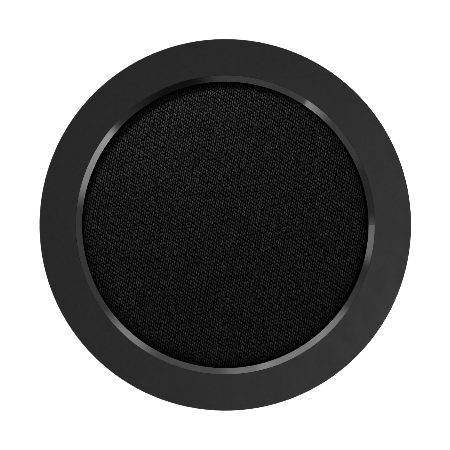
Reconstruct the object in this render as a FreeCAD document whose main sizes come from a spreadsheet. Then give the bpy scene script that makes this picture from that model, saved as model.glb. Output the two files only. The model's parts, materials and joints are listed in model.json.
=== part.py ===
import FreeCAD, Part
import math
import os
import re

import Sketcher

# Smart home hub: a round puck with a cloth-covered loudspeaker and microphones under its top,
# a network and control board in its base and its sockets in a bay at the back (+Y).
# Millimetres, +Z up, origin at the centre of the face that it stands on.

doc = FreeCAD.newDocument("smart_home_hub")

SIZES = {
    # housing
    "body_radius": 70, "body_low_radius": 69.3, "body_height": 44, "shell_bottom": 3,
    "inner_radius": 67, "rim_thickness": 2.2, "edge_round": 0.4,
    "seam_gap": 0.04, "seam_chamfer": 0.05,
    "base_under": 1.6, "base_top": 4, "base_radius": 66.7, "base_taper": 1,
    "well_circle": 62.6, "well_boss_radius": 3.4, "well_boss_low": 6, "well_boss_high": 16,
    "foot_inner": 52, "foot_outer": 57, "foot_depth": 0.8, "foot_gap": 0.1, "foot_round": 0.5,
    "label_radius": 22, "label_depth": 0.2, "label_gap": 0.2,
    # top trim and cloth
    "bevel_outer": 56.25, "bevel_inner": 54, "bevel_drop": 1.3, "bevel_skirt": 38.8,
    "bevel_flange_radius": 58.6, "bevel_flange": 1.6,
    "cloth_top": 40.4, "cloth": 0.5, "carrier_radius": 53.2, "carrier": 1.6,
    "carrier_flange_radius": 58.4, "shoulder_width": 3.5, "shoulder_drop": 1.2,
    "sound_hole": 1.9, "sound_pitch": 4.7, "microphone_port": 0.8,
    # inner frame
    "baffle_low": 30.6, "baffle": 2, "baffle_radius": 65.8, "post_circle": 62.2,
    "post_radius": 3, "press_inner": 54.8, "press_outer": 57.2, "press_height": 4.1,
    # microphone and light board
    "top_board_low": 35.2, "top_board": 1.2, "top_board_inner": 34, "top_board_outer": 52,
    "microphone_circle": 41, "light_circle": 47.8, "top_screw_circle": 37,
    # loudspeaker
    "tub_radius": 33, "tub_wall": 1.6, "tub_low": 12.2, "tub_flange_radius": 38.6,
    "tub_flange": 1.5, "tub_gasket": 0.5, "tub_screw_circle": 35.9,
    "driver_hole": 25.2, "driver_flange_radius": 27, "driver_flange": 1.2,
    "driver_ear_circle": 29.3, "driver_ear_radius": 3.1,
    "yoke_low": 14.2, "yoke_plate": 1.8, "magnet": 4, "top_plate": 1.8,
    "pole_radius": 9.1, "gap_outer": 10.35, "magnet_radius": 18, "magnet_hole": 12.5,
    "plate_radius": 15.5, "former_radius": 9.6, "former_wall": 0.15, "winding": 0.4,
    "cone_edge": 20.4, "cone_wall": 0.5, "roll_inner": 20.4, "roll_outer": 24.6,
    "roll_wall": 0.4, "spider_wall": 0.3, "spider_edge": 20.2,
    # main board
    "board_low": 8, "board": 1.6, "board_radius": 58.8, "board_back": 60.4,
    "board_back_half": 27, "standoff_circle": 53,
    # socket bay at the back
    "bay_half": 26, "bay_floor": 62.4, "bay_wall": 1.6, "bay_low": 7.4, "bay_high": 25,
    "bay_corner": 2, "bay_lip": 0.5, "socket_face": 62.1, "socket_gap": 0.25,
    "jack_x": 1.5, "jack_width": 16, "jack_height": 13.4, "jack_depth": 18,
    "usb_x": -16.5, "usb_width": 13.1, "usb_height": 5.7, "usb_depth": 14, "usb_sheet": 0.3,
    "inlet_x": 18.5, "inlet_width": 8.94, "inlet_height": 3.16, "inlet_depth": 7.6,
    # side controls
    "control_z": 13.1, "control_reach": 69.9, "button_radius": 3.5, "button_gap": 0.2,
    "knob_length": 4.4, "knob_height": 2.6, "knob_travel": 2, "track_length": 13,
    "track_height": 5, "track_face": 68.7,
    # fasteners
    "screw_shank": 1.3, "screw_head": 2.6, "screw_head_height": 1.7,
    "base_screw_head": 2.2, "thread_gap": 0.02, "screw_gap": 0.2, "recess_span": 1.2,
    "recess_slot": 0.28, "face_gap": 0.02,
    "small_shank": 0.9, "small_head": 1.8, "small_head_height": 1.2,
}

dims = doc.addObject("Spreadsheet::Sheet", "dims")
for row, (word, number) in enumerate(SIZES.items(), start=1):
    dims.set(f"A{row}", word)
    dims.set(f"B{row}", str(number))
    dims.setAlias(f"B{row}", word)
doc.recompute()

SUBPARTS = []
SCREW_WELL_ANGLES = (20, 160, 200, 340)
POST_ANGLES = (45, 135, 225, 315)
BUTTON_ANGLE = 128
MUTE_ANGLE = 52
SPEAKER_LEAD_ANGLE = 25
PROCESSOR_ANGLE = 200
RADIO_ANGLE = 293
MICROPHONES = 6
LIGHTS = 12
TUB_SCREWS = 6
CORNERS = 4


# ---------------------------------------------------------------- sizes and sketches

def linked(formula):
    """The formula with every driving dimension read from the sheet."""
    def from_sheet(match):
        word = match.group()
        return f"dims.{word}" if word in SIZES else word
    return re.sub(r"[a-z][a-z_0-9]*", from_sheet, str(formula))


def size(formula):
    """The formula's present value, in millimetres."""
    return float(dims.evalExpression(linked(formula)))


def keep(shape_object, label):
    """Marks an object as a finished sub-part, which is written under its label."""
    shape_object.Label = label
    SUBPARTS.append(shape_object)
    return shape_object


def new_body(label):
    return keep(doc.addObject("PartDesign::Body", label), label)


def sketch_on(body, role, height="0", lift="0"):
    """A sketch on one of the body's origin planes, moved off it by height along its normal and
    by lift along its own vertical axis."""
    sketch = body.newObject("Sketcher::SketchObject", f"{body.Label}_sketch")
    plane = next(f for f in body.Origin.OriginFeatures if f.Role == role)
    sketch.AttachmentSupport = [(plane, "")]
    sketch.MapMode = "FlatFace"
    sketch.setExpression(".AttachmentOffset.Base.z", linked(height))
    sketch.setExpression(".AttachmentOffset.Base.y", linked(lift))
    return sketch


def side_sketch(body, angle, distance, height):
    """A sketch facing outwards at an angle round the body, its origin at that height."""
    sketch = sketch_on(body, "YZ_Plane", f"({distance}) * cos({angle})", height)
    turn = FreeCAD.Rotation(FreeCAD.Vector(0, 1, 0), angle)
    sketch.AttachmentOffset = FreeCAD.Placement(sketch.AttachmentOffset.Base, turn)
    sketch.setExpression(".AttachmentOffset.Base.x", linked(f"({distance}) * sin({angle})"))
    return sketch


def place_point(sketch, curve, end, x, y):
    """Ties a sketch point to its distances from the sketch's origin."""
    for kind, axis, formula in (("DistanceX", -2, x), ("DistanceY", -1, y)):
        if abs(size(formula)) < 1e-9:
            sketch.addConstraint(Sketcher.Constraint("PointOnObject", curve, end, axis))
            continue
        tie = Sketcher.Constraint(kind, -1, 1, curve, end, size(formula))
        sketch.setExpression(f"Constraints[{sketch.addConstraint(tie)}]", linked(formula))


def outline(sketch, path):
    """Closes a path of vertices. (x, y) starts a straight run, and (x, y, centre_x, centre_y,
    turn) starts an arc, turn +1 for counter-clockwise and -1 for clockwise."""
    spots = [FreeCAD.Vector(size(v[0]), size(v[1]), 0) for v in path]
    ends = []
    for number, vertex in enumerate(path):
        start = spots[number]
        stop = spots[(number + 1) % len(path)]
        if len(vertex) == 2:
            curve = sketch.addGeometry(Part.LineSegment(start, stop), False)
            ends.append((curve, 1, 2))
            continue
        centre = FreeCAD.Vector(size(vertex[2]), size(vertex[3]), 0)
        first, last = (start, stop) if vertex[4] > 0 else (stop, start)
        circle = Part.Circle(centre, FreeCAD.Vector(0, 0, 1), (start - centre).Length)
        arc = Part.ArcOfCircle(circle, circle.parameter(first), circle.parameter(last))
        curve = sketch.addGeometry(arc, False)
        ends.append((curve, 1, 2) if vertex[4] > 0 else (curve, 2, 1))
    for number, vertex in enumerate(path):
        curve, start_end, stop_end = ends[number]
        next_curve, next_start, _ = ends[(number + 1) % len(path)]
        joint = Sketcher.Constraint("Coincident", curve, stop_end, next_curve, next_start)
        sketch.addConstraint(joint)
        place_point(sketch, curve, start_end, vertex[0], vertex[1])
        if len(vertex) == 2:
            continue
        chord = spots[(number + 1) % len(path)] - spots[number]
        upright = abs(chord.x) > abs(chord.y)
        kind, formula = ("DistanceY", vertex[3]) if upright else ("DistanceX", vertex[2])
        if abs(size(formula)) < 1e-9:
            axis = -1 if upright else -2
            sketch.addConstraint(Sketcher.Constraint("PointOnObject", curve, 3, axis))
            continue
        tie = Sketcher.Constraint(kind, -1, 1, curve, 3, size(formula))
        sketch.setExpression(f"Constraints[{sketch.addConstraint(tie)}]", linked(formula))


def circle(sketch, x, y, radius):
    centre = FreeCAD.Vector(size(x), size(y), 0)
    round_curve = Part.Circle(centre, FreeCAD.Vector(0, 0, 1), size(radius))
    curve = sketch.addGeometry(round_curve, False)
    tie = sketch.addConstraint(Sketcher.Constraint("Radius", curve, size(radius)))
    sketch.setExpression(f"Constraints[{tie}]", linked(radius))
    place_point(sketch, curve, 3, x, y)


def rectangle(x, y, width, height):
    """The path of a rectangle about a centre."""
    left, right = f"{x} - ({width}) / 2", f"{x} + ({width}) / 2"
    low, high = f"{y} - ({height}) / 2", f"{y} + ({height}) / 2"
    return [(left, low), (right, low), (right, high), (left, high)]


def rounded_rectangle(x, y, width, height, corner):
    left, right = f"{x} - ({width}) / 2", f"{x} + ({width}) / 2"
    low, high = f"{y} - ({height}) / 2", f"{y} + ({height}) / 2"
    left_in, right_in = f"{left} + {corner}", f"{right} - {corner}"
    low_in, high_in = f"{low} + {corner}", f"{high} - {corner}"
    return [
        (left_in, low), (right_in, low, right_in, low_in, 1),
        (right, low_in), (right, high_in, right_in, high_in, 1),
        (right_in, high), (left_in, high, left_in, high_in, 1),
        (left, high_in), (left, low_in, left_in, low_in, 1),
    ]


def stadium(x, y, width, height):
    """The path of a slot with half-round ends, longer along x."""
    left, right = f"{x} - ({width} - ({height})) / 2", f"{x} + ({width} - ({height})) / 2"
    low, high = f"{y} - ({height}) / 2", f"{y} + ({height}) / 2"
    return [(left, low), (right, low, right, y, 1), (right, high), (left, high, left, y, 1)]


def on_circle(radius, angles):
    """The x and y of points on a circle about the axis."""
    return [(f"({radius}) * cos({a})", f"({radius}) * sin({a})") for a in angles]


def evenly(count, first=0):
    return [first + 360 * k / count for k in range(count)]


# ---------------------------------------------------------------- features

def revolve(body, path, axis="V_Axis", lift="0"):
    sketch = sketch_on(body, "XZ_Plane", "0", lift)
    outline(sketch, path)
    turned = body.newObject("PartDesign::Revolution", f"{body.Label}_turned")
    turned.Profile = sketch
    turned.ReferenceAxis = (sketch, [axis])
    turned.Angle = 360
    doc.recompute()
    return turned


def pad(body, sketch, length, flip=False):
    feature = body.newObject("PartDesign::Pad", f"{body.Label}_pad")
    feature.Profile = sketch
    feature.setExpression("Length", linked(length))
    feature.Reversed = flip
    doc.recompute()
    return feature


def cut(body, sketch, depth, flip=False):
    """A pocket against the sketch's normal, or along it when flipped. It has to remove some
    material, or its direction is wrong."""
    before = body.Shape.Volume
    feature = body.newObject("PartDesign::Pocket", f"{body.Label}_pocket")
    feature.Profile = sketch
    feature.setExpression("Length", linked(depth))
    feature.Reversed = flip
    doc.recompute()
    if body.Shape.Volume > before - 1e-6:
        raise RuntimeError(f"a pocket in {body.Label} removes nothing")
    return feature


def polar(body, feature, count):
    pattern = body.newObject("PartDesign::PolarPattern", f"{body.Label}_pattern")
    pattern.Originals = [feature]
    pattern.Axis = (feature.Profile[0], ["N_Axis"])
    pattern.Angle = 360
    pattern.Occurrences = count
    body.Tip = pattern
    doc.recompute()
    return pattern


def discs(body, spots, radius, low, height):
    """Round posts standing up from a height."""
    sketch = sketch_on(body, "XY_Plane", low)
    for x, y in spots:
        circle(sketch, x, y, radius)
    return pad(body, sketch, height)


def drill(body, spots, radius, high, depth):
    """Round holes going down from a height."""
    sketch = sketch_on(body, "XY_Plane", high)
    for x, y in spots:
        circle(sketch, x, y, radius)
    return cut(body, sketch, depth)


def drill_up(body, spots, radius, low, depth):
    """Round holes going up from a height."""
    sketch = sketch_on(body, "XY_Plane", low)
    for x, y in spots:
        circle(sketch, x, y, radius)
    return cut(body, sketch, depth, flip=True)


def circular_edges(shape, radius, height):
    """The names of the round edges of one radius about the axis at one height."""
    names = []
    for number, edge in enumerate(shape.Edges, start=1):
        curve = edge.Curve
        if not isinstance(curve, Part.Circle):
            continue
        on_axis = math.hypot(curve.Center.x, curve.Center.y) < 1e-4
        at_height = abs(curve.Center.z - height) < 1e-4
        if on_axis and at_height and abs(curve.Radius - radius) < 1e-4:
            names.append(f"Edge{number}")
    return names


def soften(body, kind, edges, amount):
    """A fillet or chamfer on the body's last feature."""
    last = body.Tip
    feature = body.newObject(f"PartDesign::{kind}", f"{body.Label}_{kind.lower()}")
    feature.Base = (last, edges)
    feature.setExpression("Radius" if kind == "Fillet" else "Size", linked(amount))
    body.Tip = feature
    doc.recompute()
    return feature


def soften_circle(body, kind, radius, height, amount):
    edges = circular_edges(body.Shape, size(radius), size(height))
    if not edges:
        raise RuntimeError(f"{body.Label} has no edge of radius {radius} at {height}")
    return soften(body, kind, edges, amount)


# ---------------------------------------------------------------- primitives

def box(name, length, width, height, radius, angle, low, turn=None, shift="0"):
    """A block centred on a point at a radius and an angle round the axis, its length along that
    radius, moved sideways by shift. turn replaces the block's own angle."""
    block = doc.addObject("Part::Box", name)
    heading = angle if turn is None else turn
    spin = FreeCAD.Rotation(FreeCAD.Vector(0, 0, 1), heading)
    block.Placement = FreeCAD.Placement(FreeCAD.Vector(0, 0, 0), spin)
    block.setExpression("Length", linked(length))
    block.setExpression("Width", linked(width))
    block.setExpression("Height", linked(height))
    half_l, half_w = f"({length}) / 2", f"({width}) / 2 - ({shift})"
    x = f"({radius}) * cos({angle}) - {half_l} * cos({heading}) + ({half_w}) * sin({heading})"
    y = f"({radius}) * sin({angle}) - {half_l} * sin({heading}) - ({half_w}) * cos({heading})"
    block.setExpression(".Placement.Base.x", linked(x))
    block.setExpression(".Placement.Base.y", linked(y))
    block.setExpression(".Placement.Base.z", linked(low))
    return block


def cylinder(name, radius, height, x, y, low):
    rod = doc.addObject("Part::Cylinder", name)
    rod.setExpression("Radius", linked(radius))
    rod.setExpression("Height", linked(height))
    rod.setExpression(".Placement.Base.x", linked(x))
    rod.setExpression(".Placement.Base.y", linked(y))
    rod.setExpression(".Placement.Base.z", linked(low))
    return rod


def fuse(name, pieces):
    joined = doc.addObject("Part::MultiFuse", name)
    joined.Shapes = pieces
    return joined


def minus(name, base, tool):
    rest = doc.addObject("Part::Cut", name)
    rest.Base = base
    rest.Tool = tool
    return rest


def group(name, pieces):
    """Identical or matching pieces that share one node as separate solids."""
    together = doc.addObject("Part::Compound", name)
    together.Links = pieces
    return keep(together, name)


def screws(name, spots, head_low, shank_length, shank, head, head_height, head_up=True):
    """Pan-head screws with a cross recess. head_low is the seat's height, and the shank runs
    away from the head."""
    pieces = []
    for number, (x, y) in enumerate(spots):
        part = f"{name}_{number}"
        seat = head_low if head_up else f"{head_low} - {head_height}"
        tail = f"{head_low} - ({shank_length})" if head_up else head_low
        top = cylinder(f"{part}_head", head, head_height, x, y, seat)
        pin = cylinder(f"{part}_shank", shank, shank_length, x, y, tail)
        slot_low = f"{seat} + {head_height} / 2" if head_up else f"{seat}"
        blade = []
        for turn in (0, 90):
            bar = box(f"{part}_recess_{turn}", f"{head} * recess_span", f"{head} * recess_slot",
                      f"{head_height} / 2", "0", 0, slot_low, turn)
            for axis, place in (("x", x), ("y", y)):
                half = f"({head} * recess_span) / 2" if (axis == "x") == (turn == 0) else \
                    f"({head} * recess_slot) / 2"
                sign = "+" if (turn == 90 and axis == "x") else "-"
                bar.setExpression(f".Placement.Base.{axis}", linked(f"{place} {sign} {half}"))
            blade.append(bar)
        solid = fuse(f"{part}_solid", [top, pin])
        recess = fuse(f"{part}_cross", blade)
        pieces.append(minus(f"{part}_screw", solid, recess))
    return pieces


# ---------------------------------------------------------------- housing

def bay_mouth(shape):
    """The names of the edges where the socket bay opens through the wall."""
    names = []
    for number, edge in enumerate(shape.Edges, start=1):
        first, last = edge.ParameterRange
        spots = [edge.valueAt(first + share * (last - first)) for share in (0.25, 0.75)]
        on_wall = all(math.hypot(p.x, p.y) > size("body_low_radius") for p in spots)
        in_bay = all(abs(p.x) < size("bay_half") + 0.01 and p.y > 0 and
                     size("bay_low") - 0.01 < p.z < size("bay_high") + 0.01 for p in spots)
        if on_wall and in_bay:
            names.append(f"Edge{number}")
    return names


def body_shell():
    body = new_body("body_shell")
    under_rim = "body_height - rim_thickness"
    opening = "bevel_outer + seam_gap"
    revolve(body, [
        ("inner_radius", "shell_bottom"), ("body_low_radius", "shell_bottom"),
        ("body_radius", "body_height"), (opening, "body_height"),
        (opening, under_rim), ("inner_radius", under_rim),
    ])
    soften_circle(body, "Fillet", "body_radius", "body_height", "edge_round")
    soften_circle(body, "Fillet", "body_low_radius", "shell_bottom", "0.5")
    soften_circle(body, "Chamfer", opening, "body_height", "seam_chamfer")

    # the inside of the socket bay, a block that joins the wall
    block = sketch_on(body, "XY_Plane", "bay_low - bay_wall")
    half = "bay_half + bay_wall"
    back = "bay_floor - bay_wall"
    bulge = "inner_radius + 1"
    far = f"sqrt(({bulge})^2 - ({half})^2)"
    outline(block, [
        (f"-({half})", back), (half, back), (half, far, "0", "0", 1), (f"-({half})", far),
    ])
    pad(body, block, "bay_high - bay_low + 2 * bay_wall")

    bay = sketch_on(body, "XZ_Plane", "-bay_floor")
    middle = "(bay_low + bay_high) / 2"
    outline(bay, rounded_rectangle("0", middle, "2 * bay_half", "bay_high - bay_low", "bay_corner"))
    cut(body, bay, "12")
    soften(body, "Fillet", bay_mouth(body.Shape), "bay_lip")

    # windows for the three sockets
    windows = sketch_on(body, "XZ_Plane", "-(bay_floor + 1)")
    deck = "board_low + board"
    for x, width, height in (("jack_x", "jack_width", "jack_height"),
                             ("usb_x", "usb_width", "usb_height")):
        outline(windows, rectangle(x, f"{deck} + {height} / 2", f"{width} + 2 * socket_gap",
                                   f"{height} + 2 * socket_gap"))
    outline(windows, stadium("inlet_x", f"{deck} + inlet_height / 2",
                             "inlet_width + 2 * socket_gap", "inlet_height + 2 * socket_gap"))
    cut(body, windows, "bay_wall + 2", flip=True)

    # bosses for the base screws, and posts that the inner frame is screwed to
    wells = on_circle("well_circle", SCREW_WELL_ANGLES)
    discs(body, wells, "well_boss_radius", "well_boss_low", "well_boss_high - well_boss_low")
    webs = on_circle("inner_radius - 1.6", SCREW_WELL_ANGLES)
    discs(body, webs, "2.4", "well_boss_low", "well_boss_high - well_boss_low")
    drill_up(body, wells, "screw_shank + thread_gap", "well_boss_low", "9")
    posts = on_circle("post_circle", POST_ANGLES)
    discs(body, posts, "post_radius", "baffle_low + baffle", f"{under_rim} - baffle_low - baffle")
    drill_up(body, posts, "screw_shank + thread_gap", "baffle_low + baffle", "7")

    # the pair button's hole, and the mute knob's track and slot
    hole = side_sketch(body, BUTTON_ANGLE, "body_radius + 2", "control_z")
    circle(hole, "0", "0", "button_radius + button_gap")
    cut(body, hole, "8")
    track = side_sketch(body, MUTE_ANGLE, "body_radius + 2", "control_z")
    outline(track, stadium("0", "0", "track_length", "track_height"))
    cut(body, track, "body_radius + 2 - track_face")
    slot = side_sketch(body, MUTE_ANGLE, "body_radius + 2", "control_z")
    outline(slot, rectangle("0", "0", "knob_travel + 1.8 + 0.8", "2.4"))
    cut(body, slot, "8")
    return body


def base_plate():
    body = new_body("base_plate")
    revolve(body, [
        ("0", "base_under"), ("base_radius - base_taper", "base_under"),
        ("base_radius", "base_under + base_taper"), ("base_radius", "base_top"), ("0", "base_top"),
    ])
    groove = sketch_on(body, "XY_Plane", "base_under")
    circle(groove, "0", "0", "foot_outer")
    circle(groove, "0", "0", "foot_inner")
    cut(body, groove, "foot_depth", flip=True)
    label = sketch_on(body, "XY_Plane", "base_under")
    circle(label, "0", "0", "label_radius + label_gap")
    cut(body, label, "label_depth", flip=True)

    # radial vents, and stand-offs for the main board, the weight and the screw wells
    vent = sketch_on(body, "XY_Plane", "base_top")
    outline(vent, stadium("40", "0", "14", "2.2"))
    first_vent = cut(body, vent, "3")
    polar(body, first_vent, 30)
    wells = on_circle("well_circle", SCREW_WELL_ANGLES)
    discs(body, wells, "3", "base_top", "well_boss_low - base_top")
    drill(body, wells, "screw_shank + 0.25", "well_boss_low", "6")
    drill_up(body, wells, "base_screw_head + 0.3", "base_under", "1.2")
    board_feet = on_circle("standoff_circle", evenly(CORNERS, 45))
    discs(body, board_feet, "3", "base_top", "board_low - base_top")
    drill(body, board_feet, "screw_shank + thread_gap", "board_low", "5")
    weight_feet = on_circle("20", evenly(3, 90))
    drill(body, weight_feet, "small_shank + thread_gap", "base_top", "1.8")
    return body


def foot_ring():
    body = new_body("foot_ring")
    groove_top = "base_under + foot_depth"
    inner, outer = "foot_inner + foot_gap", "foot_outer - foot_gap"
    revolve(body, [
        (inner, "foot_round", f"{inner} + foot_round", "foot_round", 1),
        (f"{inner} + foot_round", "0"),
        (f"{outer} - foot_round", "0", f"{outer} - foot_round", "foot_round", 1),
        (outer, "foot_round"),
        (outer, groove_top), (inner, groove_top),
    ])
    return body


def base_label():
    body = new_body("base_label")
    discs(body, [("0", "0")], "label_radius", "base_under", "label_depth")
    return body


def ballast_plate():
    body = new_body("ballast_plate")
    discs(body, [("0", "0")], "27", "base_top", "2.2")
    drill(body, [("0", "0")], "6", "base_top + 2.2", "3")
    drill(body, on_circle("20", evenly(3, 90)), "small_shank + screw_gap", "base_top + 2.2", "3")
    return body


# ---------------------------------------------------------------- top trim, cloth and carrier

def bevel_ring():
    """The polished chamfer round the cloth, with a skirt down to the cloth and a flange that is
    bonded under the rim."""
    body = new_body("bevel_ring")
    under_rim = "body_height - rim_thickness"
    revolve(body, [
        ("bevel_inner", "body_height - bevel_drop"), ("bevel_inner", "bevel_skirt"),
        ("bevel_outer", "bevel_skirt"), ("bevel_outer", f"{under_rim} - bevel_flange"),
        ("bevel_flange_radius", f"{under_rim} - bevel_flange"), ("bevel_flange_radius", under_rim),
        ("bevel_outer", under_rim), ("bevel_outer", "body_height - face_gap"),
    ])
    return body


# the carrier's soft edge: an arc from its flat top down towards its side
SHOULDER_ARC = "((shoulder_width^2 + shoulder_drop^2) / (2 * shoulder_drop))"
SHOULDER_START = "(carrier_radius - shoulder_width)"
CARRIER_TOP = "(cloth_top - cloth)"
CARRIER_LOW = "(cloth_top - cloth - carrier)"


def grille_cloth():
    """Cloth drawn over the carrier's soft edge, down its side and out under the bevel ring."""
    body = new_body("grille_cloth")
    flange_top = "bevel_skirt - face_gap"
    flange_edge = "carrier_radius + 3"
    side = "carrier_radius + cloth"
    centre = f"{CARRIER_TOP} - {SHOULDER_ARC}"
    outer_drop = f"sqrt(({SHOULDER_ARC} + cloth)^2 - (shoulder_width + cloth)^2)"
    revolve(body, [
        ("0", CARRIER_TOP), (SHOULDER_START, CARRIER_TOP, SHOULDER_START, centre, -1),
        ("carrier_radius", f"{CARRIER_TOP} - shoulder_drop"), ("carrier_radius", CARRIER_LOW),
        (flange_edge, CARRIER_LOW), (flange_edge, flange_top), (side, flange_top),
        (side, f"{centre} + {outer_drop}", SHOULDER_START, centre, 1),
        (SHOULDER_START, "cloth_top"), ("0", "cloth_top"),
    ])
    return body


def grille_carrier():
    body = new_body("grille_carrier")
    flange_low = "baffle_low + baffle + press_height"
    flange_inner = "carrier_radius - 1.6"
    revolve(body, [
        ("0", CARRIER_LOW), (flange_inner, CARRIER_LOW), (flange_inner, flange_low),
        ("carrier_flange_radius", flange_low), ("carrier_flange_radius", CARRIER_LOW),
        ("carrier_radius", CARRIER_LOW),
        ("carrier_radius", f"{CARRIER_TOP} - shoulder_drop", SHOULDER_START,
         f"{CARRIER_TOP} - {SHOULDER_ARC}", 1),
        (SHOULDER_START, CARRIER_TOP), ("0", CARRIER_TOP),
    ])
    # sound holes in rings, microphone ports, and light slots near the edge
    through = "carrier + 1"
    drill(body, [("0", "0")], "sound_hole", CARRIER_TOP, through)
    for ring in range(1, 8):
        hole = sketch_on(body, "XY_Plane", CARRIER_TOP)
        circle(hole, f"{ring} * sound_pitch", "0", "sound_hole")
        polar(body, cut(body, hole, through), 6 * ring)
    sound_port = sketch_on(body, "XY_Plane", CARRIER_TOP)
    circle(sound_port, "microphone_circle", "0", "microphone_port")
    polar(body, cut(body, sound_port, through), MICROPHONES)
    slot = sketch_on(body, "XY_Plane", CARRIER_TOP)
    outline(slot, rectangle("light_circle", "0", "2", "9"))
    polar(body, cut(body, slot, through), LIGHTS)
    return body


# ---------------------------------------------------------------- inner frame and tub

def baffle_plate():
    body = new_body("baffle_plate")
    top = "baffle_low + baffle"
    discs(body, [("0", "0")], "baffle_radius", "baffle_low", "baffle")
    drill(body, [("0", "0")], "driver_hole", top, "baffle + 1")
    press = sketch_on(body, "XY_Plane", top)
    circle(press, "0", "0", "press_outer")
    circle(press, "0", "0", "press_inner")
    pad(body, press, "press_height")
    standoffs = on_circle("top_screw_circle", evenly(3, 30))
    discs(body, standoffs, "2.2", top, "top_board_low - baffle_low - baffle")
    drill(body, standoffs, "small_shank + thread_gap", "top_board_low", "4")
    drill(body, on_circle("post_circle", POST_ANGLES), "screw_shank + screw_gap", top, "baffle + 1")
    drill(body, on_circle("driver_ear_circle", evenly(CORNERS, 45)), "small_shank + thread_gap", top,
          "baffle + 1")
    drill_up(body, on_circle("tub_screw_circle", evenly(TUB_SCREWS)), "screw_shank + thread_gap",
             "baffle_low", "baffle - 0.5")
    # notches that let the frame pass the screw bosses and the socket bay from below
    drill(body, on_circle("well_circle", SCREW_WELL_ANGLES), "well_boss_radius + 0.7", top,
          "baffle + 1")
    bay_notch = sketch_on(body, "XY_Plane", top)
    outline(bay_notch, rectangle("0", "66", "2 * (bay_half + bay_wall + 0.6)", "11.2"))
    cut(body, bay_notch, "baffle + 1")
    cable_slot = sketch_on(body, "XY_Plane", top)
    outline(cable_slot, rectangle("0", "-43", "11", "4"))
    cut(body, cable_slot, "baffle + 1")
    return body


def tub_top():
    return "(baffle_low - tub_gasket)"


def speaker_tub():
    body = new_body("speaker_tub")
    flange_low = f"{tub_top()} - tub_flange"
    revolve(body, [
        ("0", "tub_low"), ("tub_radius - 3", "tub_low", "tub_radius - 3", "tub_low + 3", 1),
        ("tub_radius", "tub_low + 3"), ("tub_radius", flange_low),
        ("tub_flange_radius", flange_low), ("tub_flange_radius", tub_top()),
        ("tub_radius - tub_wall", tub_top()), ("tub_radius - tub_wall", "tub_low + 3"),
        ("tub_radius - 3", "tub_low + 1.4"), ("0", "tub_low + 1.4"),
    ])
    drill(body, on_circle("tub_screw_circle", evenly(TUB_SCREWS)), "screw_shank + 0.15", tub_top(), "4")
    lead_hole = side_sketch(body, SPEAKER_LEAD_ANGLE, "tub_radius + 3", "19")
    circle(lead_hole, "0", "0", "2.6")
    cut(body, lead_hole, "8")
    return body


def tub_gasket():
    body = new_body("tub_gasket")
    ring = sketch_on(body, "XY_Plane", tub_top())
    circle(ring, "0", "0", "tub_flange_radius - 0.2")
    circle(ring, "0", "0", "tub_radius - tub_wall + 0.2")
    pad(body, ring, "tub_gasket")
    drill(body, on_circle("tub_screw_circle", evenly(TUB_SCREWS)), "screw_shank + 0.1", "baffle_low", "1")
    return body


# ---------------------------------------------------------------- loudspeaker driver

YOKE_TOP = "(yoke_low + yoke_plate)"
MAGNET_TOP = f"({YOKE_TOP} + magnet)"
PLATE_TOP = f"({MAGNET_TOP} + top_plate)"
FLANGE_LOW = "(baffle_low + baffle)"
FLANGE_TOP = f"({FLANGE_LOW} + driver_flange)"
SPIDER_SEAT = f"({PLATE_TOP} + 3.8)"


def driver_basket():
    body = new_body("driver_basket")
    revolve(body, [
        ("12", PLATE_TOP), ("18.4", PLATE_TOP), ("18.4", f"{SPIDER_SEAT} - 1"),
        ("20.8", f"{SPIDER_SEAT} - 1"), ("driver_hole - 0.4", FLANGE_LOW),
        ("driver_flange_radius", FLANGE_LOW), ("driver_flange_radius", FLANGE_TOP),
        ("roll_outer - 0.8", FLANGE_TOP), ("20.3", SPIDER_SEAT), ("17.4", SPIDER_SEAT),
        ("17.4", f"{PLATE_TOP} + 1"), ("12", f"{PLATE_TOP} + 1"),
    ])
    ears = on_circle("driver_ear_circle", evenly(CORNERS, 45))
    lugs = sketch_on(body, "XY_Plane", FLANGE_LOW)
    circle(lugs, ears[0][0], ears[0][1], "driver_ear_radius")
    polar(body, pad(body, lugs, "driver_flange"), 4)
    drill(body, ears, "small_shank + screw_gap", FLANGE_TOP, "2")
    window = sketch_on(body, "XY_Plane", f"{FLANGE_LOW} - 0.6")
    outline(window, rectangle("22", "0", "6.4", "13"))
    polar(body, cut(body, window, "5.6"), 6)
    return body


def driver_yoke():
    """The back plate and the pole, one turned piece."""
    body = new_body("driver_yoke")
    revolve(body, [
        ("0", "yoke_low"), ("plate_radius", "yoke_low"), ("plate_radius", YOKE_TOP),
        ("pole_radius", YOKE_TOP), ("pole_radius", f"{PLATE_TOP} + 0.5"), ("0", f"{PLATE_TOP} + 0.5"),
    ])
    drill(body, [("0", "0")], "2.5", f"{PLATE_TOP} + 0.5", "12")
    return body


def flat_ring(name, inner, outer, low, height):
    body = new_body(name)
    ring = sketch_on(body, "XY_Plane", low)
    circle(ring, "0", "0", outer)
    circle(ring, "0", "0", inner)
    pad(body, ring, height)
    return body


def driver_cone():
    body = new_body("driver_cone")
    rim = FLANGE_TOP
    neck = f"{FLANGE_TOP} - 7.2"
    revolve(body, [
        ("former_radius", f"{neck} - 0.7"), ("cone_edge - 1", f"{rim} - cone_wall"),
        ("cone_edge", f"{rim} - cone_wall"), ("cone_edge", rim), ("cone_edge - 1.2", rim),
        ("former_radius", neck),
    ])
    return body


def dust_cap():
    """A shallow dome glued to the cone, part of a sphere inside and out."""
    body = new_body("dust_cap")
    foot = f"{FLANGE_TOP} - 6.3"
    centre = f"{FLANGE_TOP} - 6.3 - 15"
    outer, inner = "sqrt(10.6^2 + 15^2)", "sqrt(10.2^2 + 15^2)"
    revolve(body, [
        ("10.2", foot), ("10.6", foot, "0", centre, 1), ("0", f"{centre} + {outer}"),
        ("0", f"{centre} + {inner}", "0", centre, -1),
    ])
    return body


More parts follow.
